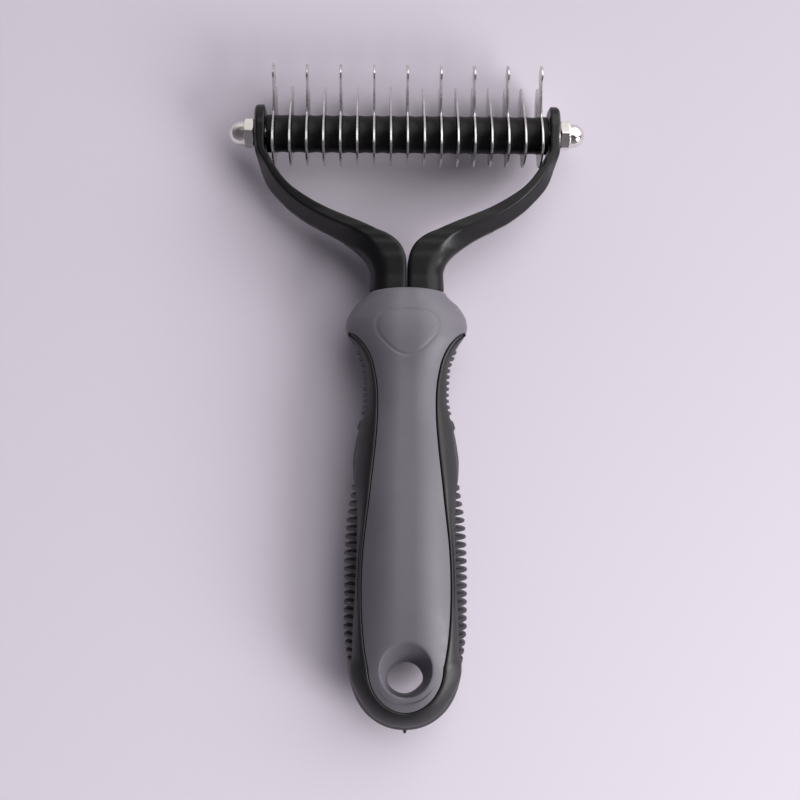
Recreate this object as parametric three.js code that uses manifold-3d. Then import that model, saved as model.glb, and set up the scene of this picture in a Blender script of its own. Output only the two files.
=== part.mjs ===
// Double-sided deshedding and dematting rake.
// Millimetres, +Z up. The tool lies on its back: +X along the blade shaft to the right,
// +Y from the grip toward the blade head, +Z out of the front of the grip.
// The group's origin is the middle of the resting face of the tool's bounding box.
import * as THREE from "three";
import { mergeVertices } from "three/addons/utils/BufferGeometryUtils.js";
import Module from "manifold-3d";

const wasm = await Module();
wasm.setup();

// ---------------------------------------------------------------- dimensions
const SHAFT_Y = 74.525; // shaft axis, from the middle of the tool's length
const SHAFT_Z = 12.0; // shaft axis above the resting face

const BLADES = 17; // odd blades carry a long claw as well
const BLADE_PITCH = 4.68;
const BLADE_T = 0.6;
const FACE_GAP = 0.1; // between stacked faces on the shaft

const SHAFT_SQUARE = 5.0;
const SHAFT_HOLE = 5.4; // square hole in each blade
const SHAFT_SQUARE_END = 39.2;
const SHAFT_ROD_R = 2.35; // threaded ends
const SHAFT_ROD_END = 46.9;

const SPACER_R = 5.25;
const SPACER_WAIST_R = 5.1;
const SPACER_BORE_R = 3.85;
const COLLAR_END = 39.45; // outer face of an end collar

const ARM_INNER = 39.8; // inner face of an arm at the shaft
const ARM_OUTER = 42.6;
const ARM_BORE_R = 2.75;
const ARM_HALF_DEPTH = 6.4;

const NUT_INNER = 42.9;
const NUT_AF = 7.4; // across flats
const NUT_HEX = 2.85;
const NUT_DOME_R = 3.35;
const NUT_TIP = 50.0;
const NUT_BORE_R = 2.65;
const NUT_BORE_DEPTH = 4.4;

const GRIP_TOP = -43.3; // all grip heights are from the shaft axis
const NECK_END = -43.0;
const CORE_END = -140.5;
const PANEL_DEPTH = 2.3; // thickness of the grey panels
const CLEAR = 0.3;

const HOLE_Y = -153.4;
const HOLE_R = 5.2;
const HOLE_WALL = 1.5;

// Half widths of one yoke arm at heights along Y: [y, inner, outer, front ridge, half depth].
const ARM = [
  [8.3, 40.7, 41.9, 41.4, 1.1],
  [7.7, 40.1, 42.3, 41.7, 2.8],
  [6.3, 39.8, 42.5, 42.0, 4.5],
  [4.4, ARM_INNER, ARM_OUTER, 42.1, 5.8],
  [1.8, ARM_INNER, ARM_OUTER, 42.1, ARM_HALF_DEPTH],
  [-5.4, 39.7, 42.4, 41.5, ARM_HALF_DEPTH],
  [-6.8, 38.5, 42.1, 40.8, 6.4],
  [-8.9, 38.0, 41.5, 39.7, 6.4],
  [-9.9, 36.9, 41.2, 39.0, 6.4],
  [-11.6, 35.8, 40.7, 38.0, 6.4],
  [-13.4, 34.3, 40.0, 36.8, 6.4],
  [-15.4, 32.3, 38.9, 35.2, 6.4],
  [-17.3, 29.7, 37.4, 33.3, 6.4],
  [-19.4, 26.3, 35.4, 30.9, 6.4],
  [-21.6, 22.0, 33.1, 27.6, 6.4],
  [-23.4, 17.5, 30.7, 24.2, 6.5],
  [-25.3, 12.7, 27.9, 20.0, 6.6],
  [-26.9, 9.3, 24.8, 16.0, 6.7],
  [-27.8, 7.3, 23.0, 14.2, 6.7],
  [-29.6, 3.8, 19.6, 11.6, 6.8],
  [-31.4, 1.9, 16.7, 9.8, 6.9],
  [-33.2, 1.0, 14.3, 8.7, 6.9],
  [-35.2, 0.45, 12.2, 7.7, 7.0],
  [-37.4, 0.3, 10.8, 7.0, 7.0],
  [-39.6, 0.3, 10.2, 6.8, 7.0],
  [NECK_END, 0.3, 10.4, 7.2, 7.2],
];

// Outer grip: [y, wall half width, ridge half width, ridge half height, crown half height].
const GRIP = [
  [GRIP_TOP, 10.6, 9.6, 4.2, 8.0],
  [-47.8, 13.9, 12.7, 4.8, 10.4],
  [-52.4, 16.9, 15.7, 4.9, 11.6],
  [-54.6, 17.1, 16.1, 4.8, 11.8],
  [-56.8, 16.4, 15.7, 4.8, 11.8],
  [-59.0, 15.0, 14.6, 5.0, 11.6],
  [-61.4, 13.5, 13.2, 5.2, 11.3],
  [-66.0, 11.4, 11.4, 5.4, 10.7],
  [-74.8, 11.0, 11.0, 5.4, 10.5],
  [-79.4, 11.9, 11.9, 5.5, 10.7],
  [-83.8, 13.5, 12.8, 5.6, 11.0],
  [-92.8, 14.9, 13.9, 5.8, 11.7],
  [-97.2, 14.7, 14.1, 5.9, 11.9],
  [-101.0, 13.8, 13.8, 6.0, 12.0],
  [-116.0, 13.5, 13.6, 6.0, 12.0],
  [-131.0, 14.1, 14.2, 6.0, 12.0],
  [-138.0, 14.6, 14.7, 5.8, 11.5],
  [-149.0, 15.7, 15.1, 5.0, 9.9],
  [-153.6, 15.5, 14.6, 4.6, 9.0],
  [-157.6, 14.4, 13.2, 4.1, 8.1],
  [-161.0, 12.7, 11.3, 3.5, 7.1],
  [-163.9, 10.2, 8.8, 2.9, 5.8],
  [-166.0, 7.1, 5.8, 2.2, 4.3],
  [-167.9, 1.5, 1.0, 0.6, 1.1],
];

// Outline of the grey panels below the collar: [y, half width].
const PANEL = [
  [-57.6, 13.7], [-59.6, 12.1], [-61.7, 10.7], [-64.6, 9.4], [-68.0, 8.55],
  [-72.0, 8.05], [-79.0, 8.1], [-87.0, 8.8], [-98.5, 10.0],
  [-111.5, 11.5], [-120.0, 12.2], [-131.0, 12.3],
  [-141.0, 11.5], [-148.6, 10.3], [-153.3, 8.9],
  [-157.0, 6.8], [-159.8, 4.1], [-161.3, 1.2],
];

// Rigid bar inside the grip: [y, half width, half depth].
const BAR = [
  [-46.0, 8.6, 5.2], [-56.0, 8.6, 5.2], [-68.0, 7.2, 5.0], [-80.0, 7.2, 5.0],
  [-96.0, 8.6, 5.0], [-128.0, 9.0, 5.0], [CORE_END, 8.4, 4.8],
];

// Fins on each side of the grip: [first y, pitch, count, thickness, half height].
const UPPER_FINS = { start: -61.5, pitch: 1.7, count: 11, thick: 0.95, half: 4.6 };
const LOWER_FINS = { start: -99.6, pitch: 2.31, count: 21, thick: 1.25, half: 5.4 };
// Reach of the fins from the middle plane: [y, half width].
const FIN_REACH = [
  [-60.0, 14.6], [-63.5, 13.4], [-68.0, 12.3], [-74.8, 12.0], [-79.5, 12.6],
  [-99.0, 15.1], [-104.1, 15.8], [-108.6, 16.5], [-115.4, 16.9], [-124.0, 17.2],
  [-131.0, 17.2], [-138.0, 16.9], [-142.4, 16.1], [-146.9, 15.9],
];

// Blade outline seen along X: [y, z] from the shaft axis, in the resting cant.
const LOBE = [
  [-5.2, 7.35], [-3.9, 7.85], [-2.0, 7.75], [0, 7.3], [1.8, 6.4], [3.4, 5.2],
];
const LONG_CLAW = [
  [4.8, 4.25], [6.8, 4.2], [9.1, 4.5], [12.0, 4.8], [14.7, 5.05], [14.9, 5.45], [15.8, 5.8],
  [17.1, 5.5], [18.2, 4.6], [18.85, 3.3], [18.8, 1.9], [18.1, 0.4], [16.8, -0.7],
  [14.6, -0.5], [12.4, -0.1], [11.2, -0.3], [11.0, -1.1],
];
const SHORT_EDGE = [[4.8, 3.85], [6.9, 2.3], [8.9, 0.85], [10.6, -0.7]];
const SHORT_CLAW = [
  [11.8, -2.3], [13.2, -3.8], [14.3, -4.75], [14.7, -5.6], [14.5, -7.2], [13.4, -8.95],
  [11.2, -9.85], [8.3, -10.3], [5.2, -10.8], [2.4, -11.35], [0.9, -11.45], [0.3, -11.0],
  [0.6, -10.3], [2.6, -9.3], [5.0, -7.9], [7.2, -6.2], [8.8, -4.9], [9.7, -3.9],
  [9.7, -3.0], [8.9, -2.4], [7.6, -2.5], [5.8, -3.8], [3.6, -5.3], [1.0, -6.4],
  [-2.0, -6.6], [-5.4, -5.6], [-7.6, -4.2], [-8.6, -2.5], [-8.75, -0.5], [-8.3, 2.0],
  [-7.5, 4.3], [-6.4, 6.1],
];

// ---------------------------------------------------------------- materials
const finish = (color, roughness, metalness) =>
  new THREE.MeshStandardMaterial({ color, roughness, metalness });
const blackPlastic = finish(0x1b1a1c, 0.5, 0);
const blackRubber = finish(0x252427, 0.7, 0);
const greyRubber = finish(0x66636c, 0.65, 0);
const steel = finish(0xc9c6c2, 0.22, 1);
const nickel = finish(0xd6cfc8, 0.16, 1);

// ---------------------------------------------------------------- helpers
const lerpTable = (table, y, column = 1) => {
  const rows = [...table].sort((a, b) => b[0] - a[0]);
  if (y >= rows[0][0]) return rows[0][column];
  for (let i = 1; i < rows.length; i++)
    if (y >= rows[i][0]) {
      const t = (rows[i - 1][0] - y) / (rows[i - 1][0] - rows[i][0]);
      return rows[i - 1][column] + t * (rows[i][column] - rows[i - 1][column]);
    }
  return rows[rows.length - 1][column];
};

// A closed skin through rings of points, every ring with the same number of points.
function skin(rings) {
  const n = rings[0].length;
  const position = [];
  for (const ring of rings) for (const p of ring) position.push(...p);
  const index = [];
  for (let k = 0; k + 1 < rings.length; k++)
    for (let i = 0; i < n; i++) {
      const a = k * n + i, b = k * n + ((i + 1) % n);
      const c = a + n, d = b + n;
      index.push(a, b, d, a, d, c);
    }
  const last = (rings.length - 1) * n;
  for (let i = 1; i + 1 < n; i++) {
    index.push(0, i + 1, i);
    index.push(last, last + i, last + i + 1);
  }
  const g = new THREE.BufferGeometry();
  g.setAttribute("position", new THREE.Float32BufferAttribute(position, 3));
  g.setIndex(index);
  return g;
}

function solid(geometry) {
  const g = geometry.clone();
  for (const name of ["normal", "uv"]) if (g.getAttribute(name)) g.deleteAttribute(name);
  const m = mergeVertices(g, 1e-4);
  const v = new Float32Array(m.attributes.position.array);
  const t = new Uint32Array(m.index.array);
  let volume = 0;
  for (let i = 0; i < t.length; i += 3) {
    const [a, b, c] = [0, 1, 2].map((k) => new THREE.Vector3().fromArray(v, t[i + k] * 3));
    volume += a.dot(b.clone().cross(c)) / 6;
  }
  if (volume < 0)
    for (let i = 0; i < t.length; i += 3) [t[i + 1], t[i + 2]] = [t[i + 2], t[i + 1]];
  return new wasm.Manifold(new wasm.Mesh({ numProp: 3, vertProperties: v, triVerts: t }));
}

function geometryOf(manifold) {
  const m = manifold.getMesh();
  const v = new Float32Array(m.numVert * 3);
  for (let i = 0; i < m.numVert; i++)
    v.set(m.vertProperties.subarray(i * m.numProp, i * m.numProp + 3), i * 3);
  const g = new THREE.BufferGeometry();
  g.setAttribute("position", new THREE.BufferAttribute(v, 3));
  g.setIndex(new THREE.BufferAttribute(new Uint32Array(m.triVerts), 1));
  g.computeVertexNormals();
  return g;
}

const turnX = new THREE.Matrix4().makeRotationZ(-Math.PI / 2); // a Y-axis solid onto X

// ---------------------------------------------------------------- yoke and core
const armRing = ([y, inner, outer, ridge, h]) => {
  const edge = Math.min(0.9, h * 0.35, (ridge - inner) * 0.4);
  const rim = h * 0.3;
  return [
    [inner, y, h - edge], [inner + edge, y, h], [ridge, y, h], [outer, y, rim],
    [outer, y, -rim], [ridge, y, -h], [inner + edge, y, -h], [inner, y, -h + edge],
  ];
};
const shoulder = [
  [NECK_END, 0.3, 8.6, 7.0, 5.2],
  [-47.0, 0.3, 8.6, 7.0, 5.2],
].map((row) => armRing(row));
const armRings = ARM.map((row) => armRing(row));
const mirror = (g) => g.clone().applyMatrix4(new THREE.Matrix4().makeScale(-1, 1, 1));
const armSkin = skin(armRings);
const shoulderSkin = skin(shoulder.map((r) => r.map(([x, y, z]) => [x, y === NECK_END ? y + 0.5 : y, z])));
const barRing = (grow) => ([y, w, h]) => {
  const W = w + grow, H = h + grow, c = 1.6;
  return [
    [W, y, H - c], [W - c, y, H], [-W + c, y, H], [-W, y, H - c],
    [-W, y, -H + c], [-W + c, y, -H], [W - c, y, -H], [W, y, -H + c],
  ];
};
let core = solid(armSkin).add(solid(mirror(armSkin)));
core = core.add(solid(shoulderSkin)).add(solid(mirror(shoulderSkin)));
core = core.add(solid(skin(BAR.map(barRing(0)))));
for (const side of [-1, 1]) {
  const bore = new THREE.CylinderGeometry(ARM_BORE_R, ARM_BORE_R, 12, 20);
  bore.applyMatrix4(turnX).translate(side * 41.5, 0, 0);
  core = core.subtract(solid(bore));
}

// ---------------------------------------------------------------- grip
const gripPoint = (w, r, zr, t, u) => {
  const s = Math.max(0, (u - 0.3) / 0.7);
  return [u * r, zr + (t - zr) * Math.pow(1 - s * s, 0.85)];
};
const gripRing = (inset) => ([y, w, r, zr, t]) => {
  const q = [0.3, 0.6, 0.85, 1].map((u) => gripPoint(w, r, zr, t, u));
  const front = [[w, 0], ...q.slice().reverse().map(([x, z]) => [x, z])];
  const half = [...front, ...q.map(([x, z]) => [-x, z]), [-w, 0]];
  const back = [...q.slice().reverse().map(([x, z]) => [-x, -z]), ...q.map(([x, z]) => [x, -z])];
  return [...half, ...back].map(([x, z]) => [x, y, Math.sign(z) * Math.max(0, Math.abs(z) - inset)]);
};
const gripSolid = solid(skin(GRIP.map(gripRing(0))));

// Everything nearer the middle plane than the panels' undersides.
const underRing = (inset) => ([y, w, r, zr, t]) => {
  const W = 19, H = Math.max(t - inset, 0.8), E = Math.max(H - 0.55 * (t - zr), 0.5);
  return [[W, y, 0], [W, y, E * 0.4], [0.62 * r, y, H * 0.8 + E * 0.2], [0.3 * r, y, H],
    [-0.3 * r, y, H], [-0.62 * r, y, H * 0.8 + E * 0.2], [-W, y, E * 0.4], [-W, y, 0],
    [-W, y, -E * 0.4], [-0.62 * r, y, -H * 0.8 - E * 0.2], [-0.3 * r, y, -H],
    [0.3 * r, y, -H], [0.62 * r, y, -H * 0.8 - E * 0.2], [W, y, -E * 0.4]];
};
const underRows = GRIP.filter(([y]) => y < -56 && y > -167);
const under = (inset, top) => {
  const rows = [[top, 0, lerpTable(GRIP, top, 2), lerpTable(GRIP, top, 3), lerpTable(GRIP, top, 4)],
    ...underRows.filter(([y]) => y < top - 0.5), [-170, 0, 2, 1.2, 3.2]];
  return solid(skin(rows.map(underRing(inset))));
};

// Outline of the panels, with the whole collar above them, as a prism through the grip.
function panelPrism(grow, collarEdge) {
  const side = [[30, 0], [30, collarEdge], ...PANEL.map(([y, x]) => [x + grow, y - grow * 0.5])];
  const shape = new THREE.Shape(
    [...side, ...side.slice().reverse().map(([x, y]) => [-x, y])].map(([x, y]) => new THREE.Vector2(x, y)));
  return solid(new THREE.ExtrudeGeometry(shape, { depth: 60, bevelEnabled: false, steps: 1 }).translate(0, 0, -30));
}

// Hang hole: straight in the middle, opening to a wider mouth on both faces.
function holeSkin(grow, flare) {
  const rings = [[-14, 11.5, 5.2], [-9, 8.2, 3.9], [-2.6, HOLE_R, 0], [2.6, HOLE_R, 0], [9, 8.2, 3.9], [14, 11.5, 5.2]];
  const used = flare ? rings : [[-14, HOLE_R, 0], [14, HOLE_R, 0]];
  return skin(used.map(([z, r, shift]) =>
    Array.from({ length: 16 }, (_, i) => {
      const a = (i / 16) * 2 * Math.PI;
      return [(r + grow) * Math.cos(a), HOLE_Y + shift + (r + grow) * Math.sin(a), z];
    })));
}

const barClear = solid(skin([[-42, 8.6, 5.2], ...BAR.slice(1, -1), [CORE_END - CLEAR, 8.4, 4.8]].map(barRing(CLEAR))));
const prismInner = panelPrism(0, -57.1);
const prismOuter = panelPrism(CLEAR, -57.1 - CLEAR * 1.6);

let sleeve = gripSolid.intersect(prismInner).subtract(under(PANEL_DEPTH, -59.0));
sleeve = sleeve.add(gripSolid.intersect(solid(holeSkin(HOLE_WALL, true))).intersect(prismInner));
sleeve = sleeve.subtract(barClear).subtract(solid(holeSkin(0, true)));

const fins = [];
for (const group of [UPPER_FINS, LOWER_FINS])
  for (let k = 0; k < group.count; k++) {
    const y = group.start - k * group.pitch;
    const reach = lerpTable(FIN_REACH, y);
    const root = lerpTable(GRIP, y, 1) - 1.2;
    const h = group.half;
    const outline = [[root, -h], [reach - 0.9, -h * 0.6], [reach, -h * 0.15],
      [reach, h * 0.15], [reach - 0.9, h * 0.6], [root, h]];
    for (const side of [1, -1]) {
      const shape = new THREE.Shape(outline.map(([x, z]) => new THREE.Vector2(side * x, z)));
      const g = new THREE.ExtrudeGeometry(shape, { depth: group.thick, bevelEnabled: false, steps: 1 });
      g.translate(0, 0, -group.thick / 2).rotateX(Math.PI / 2).translate(0, y, 0);
      fins.push(solid(g));
    }
  }
let band = gripSolid;
for (const fin of fins) band = band.add(fin);
band = band.subtract(prismOuter.subtract(under(PANEL_DEPTH + CLEAR, -59.0 - CLEAR)));
band = band.subtract(barClear).subtract(solid(holeSkin(HOLE_WALL + CLEAR, true)));

// ---------------------------------------------------------------- comb head
const square = (size) => {
  const h = size / 2;
  return new THREE.Path([[-h, -h], [h, -h], [h, h], [-h, h]].map(([x, y]) => new THREE.Vector2(x, y)));
};
function bladeGeometry(long) {
  const outline = long ? [...LOBE, ...LONG_CLAW, ...SHORT_CLAW] : [...LOBE, ...SHORT_EDGE, ...SHORT_CLAW];
  const shape = new THREE.Shape(outline.map(([y, z]) => new THREE.Vector2(y, z)));
  shape.holes.push(square(SHAFT_HOLE));
  const g = new THREE.ExtrudeGeometry(shape, { depth: BLADE_T, bevelEnabled: false, steps: 1 });
  g.translate(0, 0, -BLADE_T / 2);
  // shape x -> +Y, shape y -> +Z, depth -> +X
  g.applyMatrix4(new THREE.Matrix4().set(0, 0, 1, 0, 1, 0, 0, 0, 0, 1, 0, 0, 0, 0, 0, 1));
  return g;
}
const ringGeometry = (length, waist) => {
  const h = length / 2;
  const profile = [[SPACER_BORE_R, -h], [SPACER_R, -h], ...(waist ? [[SPACER_WAIST_R, 0]] : []),
    [SPACER_R, h], [SPACER_BORE_R, h], [SPACER_BORE_R, -h]].map(([x, y]) => new THREE.Vector2(x, y));
  return new THREE.LatheGeometry(profile, 16).applyMatrix4(turnX);
};

function shaftSolid() {
  const bar = new THREE.BoxGeometry(2 * SHAFT_SQUARE_END, SHAFT_SQUARE, SHAFT_SQUARE);
  const rod = new THREE.CylinderGeometry(SHAFT_ROD_R, SHAFT_ROD_R, 2 * SHAFT_ROD_END, 20);
  rod.applyMatrix4(turnX);
  return solid(bar).add(solid(rod));
}

function nutSolid() {
  // Hexagon with one corner toward the front, its chamfered base on the arm side.
  const R = NUT_AF / Math.sqrt(3);
  const hex = new THREE.CylinderGeometry(R, R, NUT_HEX, 6);
  hex.translate(0, NUT_INNER + NUT_HEX / 2, 0);
  const dome = [[0, NUT_INNER + 0.2], [NUT_DOME_R, NUT_INNER + 0.2], [NUT_DOME_R, NUT_INNER + NUT_HEX + 0.8]];
  const start = NUT_INNER + NUT_HEX + 0.8, rise = NUT_TIP - start;
  for (let k = 1; k <= 5; k++) {
    const a = (k / 5) * (Math.PI / 2);
    dome.push([k === 5 ? 0 : NUT_DOME_R * Math.cos(a), start + rise * Math.sin(a)]);
  }
  const lathe = new THREE.LatheGeometry(dome.map(([x, y]) => new THREE.Vector2(x, y)), 20);
  const bore = new THREE.CylinderGeometry(NUT_BORE_R, NUT_BORE_R, NUT_BORE_DEPTH + 1, 16);
  bore.translate(0, NUT_INNER + (NUT_BORE_DEPTH - 1) / 2, 0);
  return solid(hex).add(solid(lathe)).subtract(solid(bore));
}

// ---------------------------------------------------------------- assembly
const tool = new THREE.Group();
tool.position.set(0, SHAFT_Y, SHAFT_Z);
const handle = new THREE.Group();
const combHead = new THREE.Group();
tool.add(handle, combHead);

function put(group, name, geometry, material, x = 0) {
  const mesh = new THREE.Mesh(geometry, material);
  mesh.name = name;
  mesh.position.x = x;
  group.add(mesh);
  return mesh;
}

put(handle, "core_frame", geometryOf(core), blackPlastic);
put(handle, "grip_sleeve", geometryOf(sleeve), greyRubber);
put(handle, "side_grip_band", geometryOf(band), blackRubber);

put(combHead, "shaft", geometryOf(shaftSolid()), steel);
const nut = geometryOf(nutSolid());
const nutRight = nut.clone().applyMatrix4(turnX);
put(combHead, "right_acorn_nut", nutRight, nickel);
const nutLeft = nut.clone().applyMatrix4(new THREE.Matrix4().makeRotationZ(Math.PI / 2));
put(combHead, "left_acorn_nut", nutLeft, nickel);

const longBlade = bladeGeometry(true);
const shortBlade = bladeGeometry(false);
const two = (k) => String(k).padStart(2, "0");
const firstX = (-(BLADES - 1) / 2) * BLADE_PITCH;
for (let k = 0; k < BLADES; k++) {
  const long = k % 2 === 0;
  put(combHead, `blade_${two(k + 1)}_${long ? "long" : "short"}`, long ? longBlade : shortBlade, steel, firstX + k * BLADE_PITCH);
}
const spacer = ringGeometry(BLADE_PITCH - BLADE_T - 2 * FACE_GAP, true);
for (let k = 0; k + 1 < BLADES; k++)
  put(combHead, `spacer_${two(k + 1)}`, spacer, blackPlastic, firstX + (k + 0.5) * BLADE_PITCH);
const bladeFace = -firstX + BLADE_T / 2 + FACE_GAP;
const collar = ringGeometry(COLLAR_END - bladeFace, false);
put(combHead, "right_end_collar", collar, blackPlastic, (COLLAR_END + bladeFace) / 2);
put(combHead, "left_end_collar", collar, blackPlastic, -(COLLAR_END + bladeFace) / 2);

export default tool;
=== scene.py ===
import math

import bmesh
import bpy
import numpy as np
from mathutils import Matrix, Vector


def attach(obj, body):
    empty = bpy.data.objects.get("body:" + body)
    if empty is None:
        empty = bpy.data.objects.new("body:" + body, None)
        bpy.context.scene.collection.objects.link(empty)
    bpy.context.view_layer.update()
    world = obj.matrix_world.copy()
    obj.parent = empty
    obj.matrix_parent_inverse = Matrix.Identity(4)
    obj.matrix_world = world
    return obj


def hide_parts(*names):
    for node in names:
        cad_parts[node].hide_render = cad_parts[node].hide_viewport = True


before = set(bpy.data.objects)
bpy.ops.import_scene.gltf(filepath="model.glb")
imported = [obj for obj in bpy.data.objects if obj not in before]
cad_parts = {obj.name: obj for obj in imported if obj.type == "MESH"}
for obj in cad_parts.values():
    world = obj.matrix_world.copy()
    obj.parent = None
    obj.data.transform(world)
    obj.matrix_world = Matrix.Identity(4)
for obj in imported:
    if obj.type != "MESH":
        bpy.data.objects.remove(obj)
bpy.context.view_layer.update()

# ------------------------------------------------------------------ sizes (mm, from the shaft axis)
MM = 0.001
SHAFT_Y, SHAFT_Z = 74.525, 12.0

ARM = np.array([
    # y, inner, outer, front ridge, half depth
    [7.90, 40.7, 41.8, 41.4, 0.6],
    [7.78, 40.2, 42.15, 41.6, 1.9],
    [7.35, 39.95, 42.4, 41.8, 3.1],
    [6.6, 39.85, 42.5, 41.95, 4.2],
    [5.7, 39.8, 42.6, 42.05, 5.0],
    [4.4, 39.8, 42.6, 42.1, 5.75],
    [1.8, 39.8, 42.6, 42.1, 6.4],
    [-2.0, 39.8, 42.55, 41.95, 6.4],
    [-4.2, 39.8, 42.45, 41.7, 6.4],
    [-5.4, 39.6, 42.4, 41.5, 6.4],
    [-6.8, 38.55, 42.1, 40.8, 6.4],
    [-8.0, 38.0, 41.75, 40.1, 6.4],
    [-8.9, 37.95, 41.5, 39.7, 6.4],
    [-9.9, 36.9, 41.2, 39.0, 6.4],
    [-11.6, 35.7, 40.7, 38.0, 6.4],
    [-13.4, 34.3, 40.0, 36.8, 6.4],
    [-15.4, 32.3, 38.9, 35.2, 6.4],
    [-17.3, 29.7, 37.4, 33.3, 6.4],
    [-19.4, 26.3, 35.4, 30.9, 6.4],
    [-21.6, 22.0, 33.1, 27.6, 6.4],
    [-23.4, 17.6, 30.7, 24.2, 6.5],
    [-25.3, 12.9, 27.9, 20.0, 6.6],
    [-26.6, 9.95, 25.3, 16.8, 6.7],
    [-27.3, 8.5, 24.1, 15.2, 6.7],
    [-28.2, 6.2, 22.2, 13.5, 6.75],
    [-29.0, 4.7, 20.7, 12.2, 6.8],
    [-29.9, 3.45, 19.0, 11.1, 6.8],
    [-31.4, 1.95, 16.7, 9.7, 6.9],
    [-33.2, 1.0, 14.3, 8.7, 6.9],
    [-35.2, 0.4, 12.2, 7.7, 7.0],
    [-37.4, 0.22, 10.8, 7.0, 7.0],
    [-39.6, 0.2, 10.2, 6.8, 7.0],
    [-41.6, 0.2, 10.25, 6.9, 7.1],
    [-43.9, 0.2, 10.4, 7.1, 7.2],
])

GRIP = np.array([
    # y, wall half width, ridge half width, ridge half height, crown half height
    [-43.3, 10.7, 9.6, 4.4, 8.0],
    [-44.4, 11.3, 10.2, 4.5, 8.8],
    [-45.5, 12.1, 10.9, 4.6, 9.4],
    [-47.8, 13.9, 12.7, 4.8, 10.4],
    [-50.2, 15.7, 14.5, 4.9, 11.1],
    [-52.4, 16.8, 15.7, 4.9, 11.6],
    [-54.6, 17.1, 16.1, 4.8, 11.8],
    [-56.8, 16.4, 15.7, 4.8, 11.8],
    [-59.0, 15.0, 14.5, 5.0, 11.6],
    [-61.4, 13.5, 13.1, 5.2, 11.3],
    [-63.6, 12.3, 12.1, 5.3, 11.0],
    [-66.0, 11.4, 11.4, 5.4, 10.7],
    [-70.0, 11.0, 11.0, 5.4, 10.5],
    [-74.8, 10.95, 11.0, 5.4, 10.5],
    [-77.0, 11.25, 11.3, 5.4, 10.55],
    [-79.4, 11.9, 11.9, 5.5, 10.7],
    [-83.8, 13.5, 12.8, 5.6, 11.0],
    [-88.4, 14.4, 13.4, 5.7, 11.4],
    [-92.8, 14.9, 13.9, 5.8, 11.7],
    [-97.2, 14.7, 14.1, 5.9, 11.9],
    [-101.0, 13.8, 13.8, 6.0, 12.0],
    [-108.6, 13.4, 13.5, 6.0, 12.0],
    [-116.0, 13.5, 13.6, 6.0, 12.0],
    [-131.0, 14.1, 14.2, 6.0, 12.0],
    [-138.0, 14.5, 14.6, 5.8, 11.5],
    [-143.6, 14.75, 14.75, 5.5, 10.8],
    [-146.6, 14.95, 14.9, 5.2, 10.3],
    [-148.0, 15.6, 15.3, 5.1, 10.05],
    [-149.0, 15.95, 15.4, 5.0, 9.9],
    [-151.0, 15.95, 15.2, 4.8, 9.5],
    [-153.6, 15.55, 14.6, 4.6, 9.0],
    [-157.6, 14.4, 13.2, 4.1, 8.1],
    [-161.0, 12.7, 11.3, 3.7, 7.1],
    [-163.9, 10.2, 8.6, 3.4, 6.4],
    [-166.0, 7.1, 4.9, 3.2, 5.9],
    [-167.4, 3.6, 1.6, 3.1, 5.6],
])

# grey panel outline [y, half width], from the tip beside the collar to the end
PANEL = np.array([
    [-55.9, 16.1], [-56.7, 14.5], [-58.3, 12.65], [-60.0, 11.3], [-61.7, 10.35], [-64.2, 9.35],
    [-66.6, 8.8], [-69.6, 8.25], [-72.8, 7.95], [-76.0, 7.88], [-79.0, 7.92], [-83.0, 8.15], [-87.0, 8.5],
    [-92.5, 9.1], [-98.5, 9.8], [-102.2, 10.2], [-109.0, 11.05], [-115.9, 11.8], [-122.0, 12.15],
    [-127.0, 12.25], [-133.0, 12.15], [-140.6, 11.65], [-146.0, 10.9], [-148.6, 10.35],
])


def pchip(table, column):
    """Monotone cubic through the rows of a table, read at any height y."""
    t = table[np.argsort(table[:, 0])]
    x, f = t[:, 0], t[:, column]
    h = np.diff(x)
    d = np.diff(f) / h
    m = np.zeros_like(f)
    m[0], m[-1] = d[0], d[-1]
    for i in range(1, len(x) - 1):
        if d[i - 1] * d[i] > 0:
            w1, w2 = 2 * h[i] + h[i - 1], h[i] + 2 * h[i - 1]
            m[i] = (w1 + w2) / (w1 / d[i - 1] + w2 / d[i])

    def read(y):
        y = np.clip(np.asarray(y, float), x[0], x[-1])
        i = np.clip(np.searchsorted(x, y) - 1, 0, len(h) - 1)
        s = (y - x[i]) / h[i]
        return (
            f[i] * (1 + 2 * s) * (1 - s) ** 2
            + m[i] * h[i] * s * (1 - s) ** 2
            + f[i + 1] * s * s * (3 - 2 * s)
            + m[i + 1] * h[i] * s * s * (s - 1)
        )

    return read


grip_wall, grip_ridge, grip_zr, grip_top = (pchip(GRIP, c) for c in (1, 2, 3, 4))
panel_half = pchip(PANEL, 1)


def smooth01(x):
    x = np.clip(x, 0.0, 1.0)
    return x * x * (3 - 2 * x)


def crown(x, y):
    """Height of the grip's front surface above the middle plane."""
    r, zr, t = grip_ridge(y), grip_zr(y), grip_top(y)
    u = np.abs(x) / r
    s = np.clip((u - 0.16) / 0.84, 0, 1)
    return zr + (t - zr) * np.power(np.clip(1 - s * s, 0, 1), 0.85)


# ------------------------------------------------------------------ mesh helpers
def new_object(name, verts, faces, smooth=True):
    """verts in mm from the shaft axis."""
    v = np.asarray(verts, float) * MM + np.array([0, SHAFT_Y, SHAFT_Z]) * MM
    mesh = bpy.data.meshes.new(name)
    mesh.from_pydata([tuple(p) for p in v], [], [tuple(int(i) for i in f) for f in faces])
    mesh.validate()
    mesh.update()
    ob = bpy.data.objects.new(name, mesh)
    bpy.context.scene.collection.objects.link(ob)
    if smooth:
        mesh.polygons.foreach_set("use_smooth", [True] * len(mesh.polygons))
    return ob


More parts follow.
